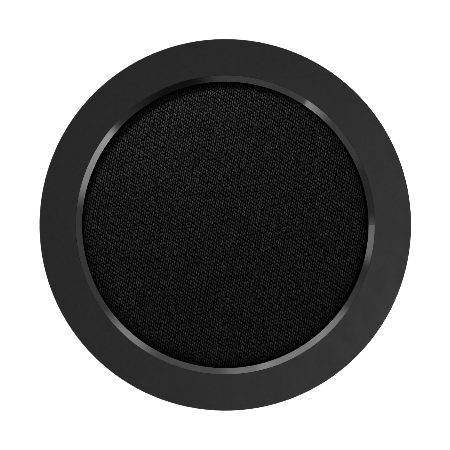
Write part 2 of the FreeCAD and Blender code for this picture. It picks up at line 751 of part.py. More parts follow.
def cone_surround():
    """A half-roll rubber edge between the cone and the basket's flange."""
    body = new_body("cone_surround")
    low = FLANGE_TOP
    high = f"{FLANGE_TOP} + roll_wall"
    middle = "(roll_inner + roll_outer) / 2"
    reach = "sqrt(((roll_outer - roll_inner) / 2)^2 - roll_wall^2)"
    revolve(body, [
        ("roll_inner - 1.6", low), ("roll_inner + roll_wall", low, middle, low, -1),
        ("roll_outer - roll_wall", low), ("roll_outer + 2.2", low), ("roll_outer + 2.2", high),
        (f"{middle} + {reach}", high, middle, low, 1), (f"{middle} - {reach}", high),
        ("roll_inner - 1.6", high),
    ])
    return body


def cone_spider():
    """The corrugated disc that centres the voice coil: waves between two glued flats."""
    body = new_body("cone_spider")
    low = f"{SPIDER_SEAT}"
    inner, pitch, waves, bulge = 10.4, 1.7, 4, 0.45
    radius = ((pitch / 2) ** 2 + bulge ** 2) / (2 * bulge)
    out, back = [], []
    for wave in range(waves):
        side = 1 if wave % 2 == 0 else -1
        start, stop = inner + wave * pitch, inner + (wave + 1) * pitch
        centre = f"{side} * ({bulge} - {radius})"
        middle = (start + stop) / 2
        out.append((f"{start}", low, f"{middle}", f"{low} + {centre}", -side))
        back.append((f"{stop}", f"{low} + spider_wall", f"{middle}",
                     f"{low} + spider_wall + {centre}", side))
    path = [("former_radius", low)] + out + [(f"{inner + waves * pitch}", low)]
    path += [("spider_edge", low), ("spider_edge", f"{low} + spider_wall")]
    path += back[::-1] + [(f"{inner}", f"{low} + spider_wall")]
    path += [("former_radius", f"{low} + spider_wall")]
    revolve(body, path)
    return body


def driver_terminals():
    """A small board on the basket's side with two solder tags."""
    strip = box("terminal_strip", "1.2", "9", "5", "25.8", SPEAKER_LEAD_ANGLE, f"{FLANGE_LOW} - 7")
    tags = [
        box(f"terminal_tag_{side}", "1.8", "1.6", "3", "27.3", SPEAKER_LEAD_ANGLE,
            f"{FLANGE_LOW} - 6.4", shift=side)
        for side in ("2.2", "-2.2")
    ]
    return group("driver_terminals", [strip] + tags)


def tube_along(points, radius):
    """A round tube of straight runs joined by arcs that touch both runs, as large as the shorter
    of the two runs allows."""
    runs = [FreeCAD.Vector(*p) for p in points]
    edges = []
    here = runs[0]
    for before, corner, after in zip(runs, runs[1:], runs[2:]):
        back = (before - corner).normalize()
        ahead = (after - corner).normalize()
        reach = 0.45 * min((before - corner).Length, (after - corner).Length)
        enter = corner + back * reach
        leave = corner + ahead * reach
        half = back.getAngle(ahead) / 2
        bisector = (back + ahead).normalize()
        middle = corner + bisector * (reach / math.cos(half) - reach * math.tan(half))
        edges.append(Part.LineSegment(here, enter).toShape())
        edges.append(Part.Arc(enter, middle, leave).toShape())
        here = leave
    edges.append(Part.LineSegment(here, runs[-1]).toShape())
    path = Part.Wire(edges)
    ring = Part.Circle(runs[0], (runs[1] - runs[0]).normalize(), radius).toShape()
    return path.makePipeShell([Part.Wire([ring])], True, False)


def speaker_wires():
    """Two leads from the driver's tags, out through the tub's grommet and down to the board."""
    turn = math.radians(SPEAKER_LEAD_ANGLE)
    along = (math.cos(turn), math.sin(turn))
    deck = size("board_low + board")
    low = size(FLANGE_LOW)
    profile = [(28.2, low - 5.6), (29.5, low - 5.6), (30.2, low - 8), (29.8, low - 11),
               (30.6, 19), (37.5, 19), (41.5, 18), (43, 15.5), (43, deck + 4.6)]
    solids = []
    for side in (-1.1, 1.1):
        points = [(r * along[0] - side * along[1], r * along[1] + side * along[0], z)
                  for r, z in profile]
        solids.append(tube_along(points, 0.6))
    wires = doc.addObject("Part::Feature", "speaker_wires")
    wires.Shape = Part.makeCompound(solids)
    wires.Placement = FreeCAD.Placement()
    return keep(wires, "speaker_wires")


def wire_grommet():
    body = new_body("wire_grommet")
    plug = side_sketch(body, SPEAKER_LEAD_ANGLE, "tub_radius + 1.6", "19")
    circle(plug, "0", "0", "2.55")
    for side in ("1.1", "-1.1"):
        circle(plug, side, "0", "0.65")
    pad(body, plug, "2.7", flip=True)
    return body


# ---------------------------------------------------------------- boards

DECK = "(board_low + board)"


def main_board():
    body = new_body("main_board")
    discs(body, [("0", "0")], "board_radius", "board_low", "board")
    back = sketch_on(body, "XY_Plane", "board_low")
    outline(back, rectangle("0", "board_back - 6", "2 * board_back_half", "12"))
    pad(body, back, "board")
    drill(body, on_circle("standoff_circle", evenly(CORNERS, 45)), "screw_shank + screw_gap", DECK, "2")
    return body


def chips_and_shields():
    """The processor with its memory, the radio module, and the shields over both."""
    processor = box("main_processor", "14", "14", "1", "46", PROCESSOR_ANGLE, DECK)
    memory = [
        box(f"memory_{side}", "9", "7", "0.9", "46", PROCESSOR_ANGLE, DECK, shift=side)
        for side in ("-13", "13")
    ]
    group("board_chips", [processor] + memory)
    outer = box("shield_outer", "18.5", "38", "2.2", "46", PROCESSOR_ANGLE, DECK)
    inner = box("shield_inner", "18.1", "37.6", "2", "46", PROCESSOR_ANGLE, DECK)
    cans = [minus("processor_shield", outer, inner)]
    pad_block = box("thermal_pad_box", "16", "24", "1", "46", PROCESSOR_ANGLE, f"{DECK} + 2.2")
    group("thermal_pad", [pad_block])

    board = box("radio_board", "15", "18", "0.8", "46", RADIO_ANGLE, DECK)
    group("radio_module", [board])
    outer = box("radio_outer", "12", "14", "1.8", "45", RADIO_ANGLE, f"{DECK} + 0.8")
    inner = box("radio_inner", "11.6", "13.6", "1.6", "45", RADIO_ANGLE, f"{DECK} + 0.8")
    cans.append(minus("radio_shield", outer, inner))
    group("shield_cans", cans)


def heat_sink():
    """A finned plate on the processor's shield, held by its pad."""
    plate = box("heat_sink_plate", "18", "34", "1.4", "46", PROCESSOR_ANGLE, f"{DECK} + 3.2")
    fins = [
        box(f"heat_sink_fin_{k}", "18", "1", "7", "46", PROCESSOR_ANGLE, f"{DECK} + 4.5",
            shift=f"{-16 + 4 * k}")
        for k in range(9)
    ]
    return keep(fuse("heat_sink", [plate] + fins), "heat_sink")


def board_antennas():
    """Three stamped inverted-F aerials at the board's edge: an upright sheet with two legs."""
    pieces = []
    for number, angle in enumerate((150, 240, 330)):
        sheet = box(f"aerial_{number}_sheet", "0.3", "16", "5", "57", angle, f"{DECK} + 3")
        legs = [
            box(f"aerial_{number}_leg_{k}", "0.3", "1.2", "3.2", "57", angle, DECK, shift=shift)
            for k, shift in enumerate(("7.4", "3.4"))
        ]
        pieces.append(fuse(f"aerial_{number}", [sheet] + legs))
    return group("board_antennas", pieces)


def power_parts():
    pieces = [
        box("power_coil_0", "8", "8", "4", "43", 355, DECK),
        box("power_coil_1", "6", "6", "3", "43", 8, DECK),
    ]
    for number, angle in enumerate((343, 334)):
        spot = on_circle("52", [angle + 16])[0]
        pieces.append(cylinder(f"power_can_{number}", "3.1", "6", spot[0], spot[1], DECK))
    return group("power_parts", pieces)


def speaker_header():
    outer = box("header_outer", "5", "8", "4", "43", SPEAKER_LEAD_ANGLE, DECK)
    inner = box("header_inner", "3.4", "6.4", "3.4", "43", SPEAKER_LEAD_ANGLE, f"{DECK} + 1")
    return keep(minus("speaker_header", outer, inner), "speaker_header")


def flat_cable_sockets():
    spots = (("upper", "top_board_low - 2.2", "2.2"), ("lower", DECK, "2.6"))
    pieces = []
    for word, low, height in spots:
        block = box(f"socket_{word}_block", "3", "11", height, "43", 270, low)
        gap = box(f"socket_{word}_gap", "0.5", "8.4", height, "43", 270,
                  f"{low} - 0.4" if word == "upper" else f"{low} + 0.4")
        pieces.append(minus(f"socket_{word}", block, gap))
    return group("flat_cable_sockets", pieces)


def flat_cable():
    """A flat flexible cable between the two boards, with slack taken up in one soft bow."""
    body = new_body("flat_cable")
    side = sketch_on(body, "YZ_Plane", "-4")
    high_end, high = "top_board_low - 0.4", "(top_board_low - 2.8)"
    low_end, low = f"{DECK} + 0.8", f"({DECK} + 3.2)"
    middle, quarter = f"(({high} + {low}) / 2)", f"(({high} - {low}) / 4)"
    bow = 3.2
    reach = f"(({quarter})^2 + {bow}^2 / 4) / {bow}"

    def bends(y, downwards):
        """The bow's four arcs for one face of the cable, taken down or up."""
        turn = -1 if downwards else 1
        near, far = f"{y} - {reach}", f"{y} - {bow} + {reach}"
        first, last = (high, low) if downwards else (low, high)
        step = quarter if downwards else f"-{quarter}"
        return [
            (y, first, near, first, turn),
            (f"{y} - {bow} / 2", f"{middle} + {step}", far, middle, -turn),
            (f"{y} - {bow}", middle, far, middle, -turn),
            (f"{y} - {bow} / 2", f"{middle} - {step}", near, last, turn),
        ]

    right, left = "-43 + 0.12", "-43 - 0.12"
    outline(side, [(right, high_end)] + bends(right, True) + [(right, low), (right, low_end)]
            + [(left, low_end)] + bends(left, False) + [(left, high), (left, high_end)])
    pad(body, side, "8")
    return body


def top_board():
    body = new_body("top_board")
    ring = sketch_on(body, "XY_Plane", "top_board_low")
    circle(ring, "0", "0", "top_board_outer - 0.8")
    circle(ring, "0", "0", "top_board_inner")
    pad(body, ring, "top_board")
    drill(body, on_circle("top_screw_circle", evenly(3, 30)), "small_shank + 0.15",
          "top_board_low + top_board", "2")
    return body


def top_board_pieces():
    deck = "top_board_low + top_board"
    gap = f"{CARRIER_LOW} - top_board_low - top_board - 1"
    sensors = []
    gaskets = []
    for number, angle in enumerate(evenly(MICROPHONES)):
        sensors.append(box(f"microphone_{number}", "2.7", "3.6", "1", "microphone_circle", angle, deck))
        x, y = on_circle("microphone_circle", [angle])[0]
        outer = cylinder(f"gasket_{number}_outer", "1.3", gap, x, y, f"{deck} + 1")
        inner = cylinder(f"gasket_{number}_inner", "0.6", gap, x, y, f"{deck} + 1")
        gaskets.append(minus(f"gasket_{number}", outer, inner))
    group("microphones", sensors)
    group("microphone_gaskets", gaskets)
    lights = [
        box(f"status_led_{number}", "1.6", "3.2", "0.8", "light_circle", angle, deck)
        for number, angle in enumerate(evenly(LIGHTS))
    ]
    group("status_leds", lights)
    flat_ring("light_guide", "light_circle - 1.6", "light_circle + 1.6", f"{deck} + 0.9", "0.95")


# ---------------------------------------------------------------- sockets

def ethernet_jack():
    """A shielded modular jack, its latch slot at the bottom, with a stepped cavity."""
    body = new_body("ethernet_jack")
    front = sketch_on(body, "XZ_Plane", "-socket_face")
    outline(front, rectangle("jack_x", f"{DECK} + jack_height / 2", "jack_width", "jack_height"))
    pad(body, front, "jack_depth")
    cavity = sketch_on(body, "XZ_Plane", "-socket_face")
    top = f"{DECK} + jack_height - 2.6"
    shoulder = f"{DECK} + 4"
    ledge = f"{DECK} + 2.6"
    foot = f"{DECK} + 1.2"
    outline(cavity, [
        ("jack_x - 1.7", foot), ("jack_x + 1.7", foot), ("jack_x + 1.7", ledge),
        ("jack_x + 3.2", ledge), ("jack_x + 3.2", shoulder), ("jack_x + 5.95", shoulder),
        ("jack_x + 5.95", top), ("jack_x - 5.95", top), ("jack_x - 5.95", shoulder),
        ("jack_x - 3.2", shoulder), ("jack_x - 3.2", ledge), ("jack_x - 1.7", ledge),
    ])
    cut(body, cavity, "13", flip=True)
    lenses = sketch_on(body, "XZ_Plane", "-socket_face")
    for side in ("-5.6", "5.6"):
        outline(lenses, rectangle(f"jack_x + {side}", f"{DECK} + jack_height - 1.4", "3", "1.4"))
    cut(body, lenses, "1.2", flip=True)
    return body


def ethernet_lenses():
    body = new_body("ethernet_lenses")
    lenses = sketch_on(body, "XZ_Plane", "-(socket_face - 0.1)")
    for side in ("-5.6", "5.6"):
        outline(lenses, rectangle(f"jack_x + {side}", f"{DECK} + jack_height - 1.4", "2.96", "1.36"))
    pad(body, lenses, "1")
    return body


def ethernet_contacts():
    """Eight spring wires that slope down from the cavity's roof towards its back."""
    pieces = []
    for number in range(8):
        wire = doc.addObject("Part::Box", f"contact_{number}")
        tilt = FreeCAD.Rotation(FreeCAD.Vector(1, 0, 0), 8)
        wire.Placement = FreeCAD.Placement(FreeCAD.Vector(0, 0, 0), tilt)
        wire.Length, wire.Width, wire.Height = 0.4, 8.4, 0.3
        offset = (number - 3.5) * 1.02 - 0.2
        wire.setExpression(".Placement.Base.x", linked(f"jack_x + {offset}"))
        wire.setExpression(".Placement.Base.y", linked("socket_face - 12"))
        wire.setExpression(".Placement.Base.z", linked(f"{DECK} + jack_height - 4.2"))
        pieces.append(wire)
    return group("ethernet_contacts", pieces)


def sheet_socket(name, outer, inner, depth, mouth):
    """A folded metal shell closed at its back."""
    body = new_body(name)
    front = sketch_on(body, "XZ_Plane", "-socket_face")
    outline(front, outer)
    pad(body, front, depth)
    hollow = sketch_on(body, "XZ_Plane", "-socket_face")
    outline(hollow, inner)
    cut(body, hollow, mouth, flip=True)
    return body


def usb_group():
    middle = f"{DECK} + usb_height / 2"
    sheet_socket(
        "usb_port", rectangle("usb_x", middle, "usb_width", "usb_height"),
        rectangle("usb_x", middle, "usb_width - 2 * usb_sheet", "usb_height - 2 * usb_sheet"),
        "usb_depth", "usb_depth - 0.4")
    body = new_body("usb_tongue")
    blade = sketch_on(body, "XZ_Plane", "-(socket_face - 1.6)")
    outline(blade, rectangle("usb_x", f"{middle} + 0.9", "11.1", "1.84"))
    pad(body, blade, "10")
    back = sketch_on(body, "XZ_Plane", "-(socket_face - 10.4)")
    outline(back, rectangle("usb_x", middle, "usb_width - 2 * usb_sheet - 0.1",
                            "usb_height - 2 * usb_sheet - 0.1"))
    pad(body, back, "3.1")


def inlet_group():
    middle = f"{DECK} + inlet_height / 2"
    sheet_socket(
        "power_inlet", stadium("inlet_x", middle, "inlet_width", "inlet_height"),
        stadium("inlet_x", middle, "inlet_width - 0.6", "inlet_height - 0.6"),
        "inlet_depth", "inlet_depth - 0.3")
    body = new_body("power_tongue")
    blade = sketch_on(body, "XZ_Plane", "-(socket_face - 0.8)")
    outline(blade, rectangle("inlet_x", middle, "6.69", "0.7"))
    pad(body, blade, "5.6")
    back = sketch_on(body, "XZ_Plane", "-(socket_face - 5.8)")
    outline(back, stadium("inlet_x", middle, "inlet_width - 0.7", "inlet_height - 0.7"))
    pad(body, back, "1.4")


# ---------------------------------------------------------------- side controls

def pair_button():
    """A round cap on a stem. The cap's flange keeps it inside the wall."""
    body = new_body("pair_button")
    dish = "control_reach - 0.35"
    revolve(body, [
        ("61.1", "0"), (dish, "0"), (dish, "button_radius - 0.9"),
        ("control_reach", "button_radius - 0.45"), ("control_reach - 0.3", "button_radius"),
        ("66.2", "button_radius"), ("66.2", "4.5"), ("65.2", "4.5"), ("65.2", "1.5"), ("61.1", "1.5"),
    ], axis="H_Axis", lift="control_z")
    body.Placement = FreeCAD.Placement(FreeCAD.Vector(), FreeCAD.Rotation(BUTTON_ANGLE, 0, 0))
    return body


def tact_group():
    """The switch behind the button, and its plunger, which the stem pushes."""
    housing = box("tact_switch_housing", "5", "6.4", "6.4", "57", BUTTON_ANGLE, DECK)
    bore = doc.addObject("Part::Cylinder", "tact_switch_bore")
    bore.Radius, bore.Height = 1.6, 2.2
    spin = FreeCAD.Rotation(BUTTON_ANGLE, 0, 0) * FreeCAD.Rotation(FreeCAD.Vector(0, 1, 0), 90)
    start = FreeCAD.Vector(57.4, 0, 0)
    where = FreeCAD.Rotation(BUTTON_ANGLE, 0, 0).multVec(start)
    bore.Placement = FreeCAD.Placement(where, spin)
    bore.setExpression(".Placement.Base.z", linked("control_z"))
    keep(minus("tact_switch", housing, bore), "tact_switch")
    body = new_body("tact_plunger")
    revolve(body, [("58.4", "0"), ("61.1", "0"), ("61.1", "1.2"), ("58.4", "1.2")],
            axis="H_Axis", lift="control_z")
    body.Placement = FreeCAD.Placement(FreeCAD.Vector(), FreeCAD.Rotation(BUTTON_ANGLE, 0, 0))


def mute_group():
    """A slide switch at the board's edge. Its knob reaches through the slot in the wall and
    starts at the end of its travel."""
    housing = box("mute_housing", "3.6", "9", "5.6", "57.4", MUTE_ANGLE, DECK)
    groove = box("mute_groove", "2.4", "6.4", "2.6", "58.9", MUTE_ANGLE, "control_z - 1.3")
    keep(minus("mute_switch", housing, groove), "mute_switch")
    start = "-knob_travel / 2"
    cap_in, cap_out = "track_face + 0.1", "control_reach - 0.2"
    stem = box("mute_stem", "track_face + 0.3 - 58.2", "1.8", "1.6",
               "(track_face + 0.3 + 58.2) / 2", MUTE_ANGLE, "control_z - 0.8", shift=start)
    cap = box("mute_cap", f"{cap_out} - ({cap_in})", "knob_length", "knob_height",
              f"({cap_in} + {cap_out}) / 2", MUTE_ANGLE, "control_z - knob_height / 2", shift=start)
    ridges = [
        box(f"mute_ridge_{k}", "0.4", "0.5", "knob_height", "control_reach - 0.2", MUTE_ANGLE,
            "control_z - knob_height / 2", shift=f"{start} + {1.1 * (k - 1)}")
        for k in range(3)
    ]
    keep(fuse("mute_knob", [stem, cap] + ridges), "mute_knob")


# ---------------------------------------------------------------- screws

def all_screws():
    large = ("screw_shank", "screw_head", "screw_head_height")
    small = ("small_shank", "small_head", "small_head_height")
    base = screws("base", on_circle("well_circle", SCREW_WELL_ANGLES), "base_under + 1.2", "10",
                  "screw_shank", "base_screw_head", "1.1", head_up=False)
    group("base_screws", base)
    board = screws("board", on_circle("standoff_circle", evenly(CORNERS, 45)), DECK, "5.6", *large)
    baffle = screws("baffle", on_circle("post_circle", POST_ANGLES), "baffle_low", "8", *large,
                    head_up=False)
    tub = screws("tub", on_circle("tub_screw_circle", evenly(TUB_SCREWS)), f"{tub_top()} - tub_flange",
                 "3.2", *large, head_up=False)
    group("inner_screws", board + baffle + tub)
    weight = screws("weight", on_circle("20", evenly(3, 90)), "base_top + 2.2", "3.6", *small)
    driver = screws("driver", on_circle("driver_ear_circle", evenly(CORNERS, 45)), FLANGE_TOP, "3",
                    *small)
    lights = screws("top_board", on_circle("top_screw_circle", evenly(3, 30)),
                    "top_board_low + top_board", "4.4", *small)
    group("small_screws", weight + driver + lights)


def build():
    body_shell()
    base_plate()
    foot_ring()
    base_label()
    ballast_plate()
    bevel_ring()
    grille_cloth()
    grille_carrier()
    baffle_plate()
    speaker_tub()
    tub_gasket()
    driver_basket()
    driver_yoke()
    flat_ring("driver_magnet", "magnet_hole", "magnet_radius", YOKE_TOP, "magnet")
    flat_ring("driver_top_plate", "gap_outer", "plate_radius", MAGNET_TOP, "top_plate")
    flat_ring("coil_former", "former_radius - former_wall", "former_radius",
              f"{YOKE_TOP} + 1.6", f"{FLANGE_TOP} - 7.2 - {YOKE_TOP} - 1.6")
    flat_ring("voice_coil", "former_radius", "former_radius + winding",
              f"{MAGNET_TOP} - 1.3", "top_plate + 2.6")
    driver_cone()
    dust_cap()
    cone_surround()
    cone_spider()
    flat_ring("driver_gasket", "roll_outer + 0.2", "driver_flange_radius - 0.1",
              f"{FLANGE_TOP} + roll_wall", "1")
    driver_terminals()
    speaker_wires()
    wire_grommet()
    main_board()
    chips_and_shields()
    heat_sink()
    board_antennas()
    power_parts()
    speaker_header()
    flat_cable_sockets()
    flat_cable()
    top_board()
    top_board_pieces()
    ethernet_jack()
    ethernet_lenses()
    ethernet_contacts()
    usb_group()
    inlet_group()
    pair_button()
    tact_group()
    mute_group()
    all_screws()


def check_and_write():
    """Stops on any failed object or bad shape, then writes one file for each sub-part."""
    doc.recompute()
    for thing in doc.Objects:
        if "Invalid" in thing.State or "Error" in thing.State:
            raise RuntimeError(f"{thing.Label} failed: {thing.State}")
    for piece in SUBPARTS:
        if piece.Shape.isNull() or not piece.Shape.isValid() or piece.Shape.Volume <= 0:
            raise RuntimeError(f"{piece.Label} has no valid shape")
    os.makedirs("parts", exist_ok=True)
    for piece in SUBPARTS:
        piece.Shape.exportStep(os.path.join("parts", f"{piece.Label}.step"))
    print(f"{len(SUBPARTS)} sub-parts written")


build()
check_and_write()
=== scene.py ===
import json
import math
import random

import bmesh
import bpy
from mathutils import Matrix, Vector


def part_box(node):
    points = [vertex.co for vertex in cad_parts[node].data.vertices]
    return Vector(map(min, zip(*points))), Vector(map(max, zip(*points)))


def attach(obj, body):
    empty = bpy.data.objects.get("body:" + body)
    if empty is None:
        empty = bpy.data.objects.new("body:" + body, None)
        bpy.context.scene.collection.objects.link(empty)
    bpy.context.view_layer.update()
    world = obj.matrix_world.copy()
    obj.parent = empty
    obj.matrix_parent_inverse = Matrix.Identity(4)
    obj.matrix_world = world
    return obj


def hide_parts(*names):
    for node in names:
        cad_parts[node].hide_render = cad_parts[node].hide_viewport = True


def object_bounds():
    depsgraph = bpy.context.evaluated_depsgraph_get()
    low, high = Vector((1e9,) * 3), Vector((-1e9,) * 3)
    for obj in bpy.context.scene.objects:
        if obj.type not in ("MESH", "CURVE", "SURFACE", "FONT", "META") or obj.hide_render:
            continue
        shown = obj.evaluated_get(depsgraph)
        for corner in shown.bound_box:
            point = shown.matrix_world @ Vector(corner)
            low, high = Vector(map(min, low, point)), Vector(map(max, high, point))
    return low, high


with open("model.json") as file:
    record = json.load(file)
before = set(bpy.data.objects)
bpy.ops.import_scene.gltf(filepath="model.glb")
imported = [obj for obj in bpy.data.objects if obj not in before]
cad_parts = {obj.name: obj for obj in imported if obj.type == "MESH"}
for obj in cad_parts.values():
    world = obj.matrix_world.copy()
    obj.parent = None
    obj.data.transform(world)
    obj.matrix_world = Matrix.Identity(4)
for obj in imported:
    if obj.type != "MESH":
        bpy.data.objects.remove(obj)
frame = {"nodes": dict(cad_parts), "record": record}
CAD_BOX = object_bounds()

# Everything is in metres and in the part's frame: +Z up, the sockets at +Y.
MM = 0.001
# The period of Blender's wave texture at a scale of 1, for rings and for bands along an axis.
WAVE_PERIOD = 0.314
LOW, HIGH = CAD_BOX
TOP = HIGH.z
BODY_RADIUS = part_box("body_shell")[1].x


# ---------------------------------------------------------------- small helpers

def mesh_object(name, bm, smooth=True):
    """A new object holding a finished bmesh."""
    mesh = bpy.data.meshes.new(name)
    bm.normal_update()
    bm.to_mesh(mesh)
    bm.free()
    if smooth:
        mesh.shade_smooth()
    thing = bpy.data.objects.new(name, mesh)
    bpy.context.scene.collection.objects.link(thing)
    return thing


def fade(value, place, width):
    """Climbs smoothly from 0 to 1 over a width about a place."""
    t = min(1.0, max(0.0, (value - place) / width + 0.5))
    return t * t * (3 - 2 * t)


class Shader:
    """A material under construction: a Principled shader and the textures that drive it."""

    def __init__(self, name):
        self.material = bpy.data.materials.new(name)
        self.material.use_nodes = True
        self.tree = self.material.node_tree
        self.shader = self.tree.nodes["Principled BSDF"]
        self.place = self.node("ShaderNodeTexCoord").outputs["Object"]

    def node(self, kind, **settings):
        """A new node of a kind, with its own properties set."""
        made = self.tree.nodes.new(kind)
        for key, value in settings.items():
            setattr(made, key, value)
        return made

    def link(self, source, target):
        self.tree.links.new(source, target)

    def set(self, **sockets):
        """Constants on the shader's own sockets."""
        for word, value in sockets.items():
            self.shader.inputs[word.replace("_", " ")].default_value = value

    def stretched(self, stretch):
        """Object coordinates scaled per axis: below 1, a texture is drawn out along that axis."""
        mapping = self.node("ShaderNodeMapping")
        mapping.inputs["Scale"].default_value = stretch
        self.link(self.place, mapping.inputs["Vector"])
        return mapping.outputs["Vector"]

    def noise(self, grain, detail=2.0, rough=0.5, stretch=None):
        """Noise whose features are about grain metres across."""
        made = self.node("ShaderNodeTexNoise")
        made.inputs["Scale"].default_value = 1 / grain
        made.inputs["Detail"].default_value = detail
        made.inputs["Roughness"].default_value = rough
        source = self.stretched(stretch) if stretch else self.place
        self.link(source, made.inputs["Vector"])
        return made.outputs["Fac"]

    def ramp(self, source, *stops):
        """Colours along a 0 to 1 value: (position, (r, g, b)) each."""
        made = self.node("ShaderNodeValToRGB")
        elements = made.color_ramp.elements
        while len(elements) < len(stops):
            elements.new(0.5)
        for element, (position, colour) in zip(elements, stops):
            element.position = position
            element.color = (*colour, 1)
        self.link(source, made.inputs["Fac"])
        return made.outputs["Color"]

    def range(self, source, low, high, start=0.3, stop=0.7):
        """A value that goes from low to high while its source goes from start to stop."""
        made = self.node("ShaderNodeMapRange")
        for word, value in (("From Min", start), ("From Max", stop), ("To Min", low), ("To Max", high)):
            made.inputs[word].default_value = value
        self.link(source, made.inputs["Value"])
        return made.outputs["Result"]

    def bump(self, height, strength, distance, under=None):
        """A normal tilted by a height value, on top of another normal if one is given."""
        made = self.node("ShaderNodeBump")
        made.inputs["Strength"].default_value = strength
        made.inputs["Distance"].default_value = distance
        self.link(height, made.inputs["Height"])
        if under:
            self.link(under, made.inputs["Normal"])
        return made.outputs["Normal"]

    def colour(self, source):
        self.link(source, self.shader.inputs["Base Color"])

    def roughness(self, source):
        self.link(source, self.shader.inputs["Roughness"])

    def normal(self, source):
        self.link(source, self.shader.inputs["Normal"])


def grey(level):
    """A neutral colour, a trace towards blue."""
    return (level, level, level * 1.01)


def tint(colour, share):
    """A colour made darker or lighter."""
    return tuple(min(1.0, c * share) for c in colour)


# ---------------------------------------------------------------- materials

def moulded(name, colour, rough=0.5, grain=0.25 * MM, relief=0.5, shine=0.35):
    """Moulded plastic: a fine spark-eroded grain, with a slow drift in tone and gloss."""
    m = Shader(name)
    m.colour(m.ramp(m.noise(9 * MM, 3), (0.3, tint(colour, 0.9)), (0.7, tint(colour, 1.1))))
    m.roughness(m.range(m.noise(4 * MM, 3), rough - 0.05, rough + 0.06))
    m.normal(m.bump(m.noise(grain, 2), relief, 0.02 * MM))
    m.set(Specular_IOR_Level=shine)
    return m.material


def rubber(name, colour, rough=0.75):
    """Dull rubber with a faint bloom and moulding grain."""
    m = Shader(name)
    m.colour(m.ramp(m.noise(6 * MM, 4, 0.6), (0.3, tint(colour, 0.85)), (0.75, tint(colour, 1.3))))
    m.roughness(m.range(m.noise(2 * MM, 3), rough - 0.08, rough + 0.1))
    m.normal(m.bump(m.noise(0.3 * MM, 3), 0.5, 0.03 * MM))
    m.set(Specular_IOR_Level=0.3)
    return m.material


def metal(name, colour, rough=0.3, grain=0.2 * MM, stretch=(1, 1, 1), relief=0.2):
    """Plated or milled metal, its fine scratches drawn out along one direction."""
    m = Shader(name)
    m.colour(m.ramp(m.noise(5 * MM, 3), (0.3, tint(colour, 0.88)), (0.7, tint(colour, 1.08))))
    scratches = m.noise(grain, 3, 0.6, stretch)
    m.roughness(m.range(scratches, rough - 0.07, rough + 0.09))
    m.normal(m.bump(scratches, relief, 0.01 * MM))
    m.set(Metallic=1.0)
    return m.material


def turned(name, colour, rough, pitch, relief):
    """Metal cut on a lathe about the hub's axis: fine rings, and a little tarnish."""
    m = Shader(name)
    rings = m.node("ShaderNodeTexWave", wave_type="RINGS", rings_direction="Z")
    rings.inputs["Scale"].default_value = WAVE_PERIOD / pitch
    rings.inputs["Distortion"].default_value = 0.4
    rings.inputs["Detail"].default_value = 2.0
    m.link(m.place, rings.inputs["Vector"])
    m.colour(m.ramp(m.noise(12 * MM, 3), (0.3, tint(colour, 0.93)), (0.7, tint(colour, 1.06))))
    m.roughness(m.range(m.noise(3 * MM, 3), rough - 0.02, rough + 0.03))
    m.normal(m.bump(rings.outputs["Fac"], relief, 0.004 * MM))
    m.set(Metallic=1.0)
    return m.material


def shell_paint():
    """The housing's satin black: a very fine texture, slightly uneven in gloss."""
    m = Shader("shell_satin_black")
    mottle = m.noise(1.9 * MM, 4, 0.75)
    m.colour(m.ramp(mottle, (0.3, grey(0.0235)), (0.7, grey(0.0325))))
    m.roughness(m.range(m.noise(6 * MM, 4), 0.45, 0.53))
    fine = m.bump(m.noise(0.5 * MM, 3), 0.6, 0.02 * MM)
    m.normal(m.bump(m.noise(14 * MM, 1), 0.25, 0.05 * MM, fine))
    m.set(Specular_IOR_Level=0.3)
    return m.material


def board_mask(name):
    """Green solder mask over copper: paler tracks and pours show through as blocks and lines."""
    m = Shader(name)
    pours = m.node("ShaderNodeTexVoronoi", distance="CHEBYCHEV", feature="F1")
    pours.inputs["Scale"].default_value = 1 / (5 * MM)
    m.link(m.place, pours.inputs["Vector"])
    tracks = m.node("ShaderNodeTexWave", wave_type="BANDS", bands_direction="DIAGONAL")
    tracks.inputs["Scale"].default_value = WAVE_PERIOD / (0.6 * MM)
    tracks.inputs["Distortion"].default_value = 3.0
    m.link(m.place, tracks.inputs["Vector"])
    mix = m.node("ShaderNodeMath", operation="MULTIPLY")
    m.link(pours.outputs["Distance"], mix.inputs[0])
    m.link(tracks.outputs["Fac"], mix.inputs[1])
    m.colour(m.ramp(mix.outputs[0], (0.1, (0.011, 0.052, 0.026)), (0.35, (0.015, 0.072, 0.034))))
    m.roughness(m.range(m.noise(2 * MM), 0.28, 0.4))
    m.normal(m.bump(mix.outputs[0], 0.2, 0.02 * MM))
    return m.material


def wound_copper():
    """Fine enamelled wire in close turns round the coil. Its colour darkens between the turns: painted
    shade.
    """
    m = Shader("wound_copper")
    turns = m.node("ShaderNodeTexWave", wave_type="BANDS", bands_direction="Z")
    turns.inputs["Scale"].default_value = WAVE_PERIOD / (0.2 * MM)
    m.link(m.place, turns.inputs["Vector"])
    m.colour(m.ramp(turns.outputs["Fac"], (0.0, (0.18, 0.06, 0.025)), (0.6, (0.72, 0.30, 0.13))))
    m.roughness(m.range(m.noise(1 * MM), 0.22, 0.34))
    m.normal(m.bump(turns.outputs["Fac"], 0.8, 0.05 * MM))
    m.set(Metallic=1.0)
    return m.material


def pressed_pulp(name, colour):
    """Paper cone: matted fibres with a faint lengthwise mottle."""
    m = Shader(name)
    fibres = m.noise(0.5 * MM, 5, 0.7)
    m.colour(m.ramp(fibres, (0.3, tint(colour, 0.7)), (0.7, tint(colour, 1.4))))
    m.roughness(m.range(fibres, 0.72, 0.9))
    m.normal(m.bump(fibres, 0.7, 0.06 * MM))
    m.set(Specular_IOR_Level=0.25)
    return m.material


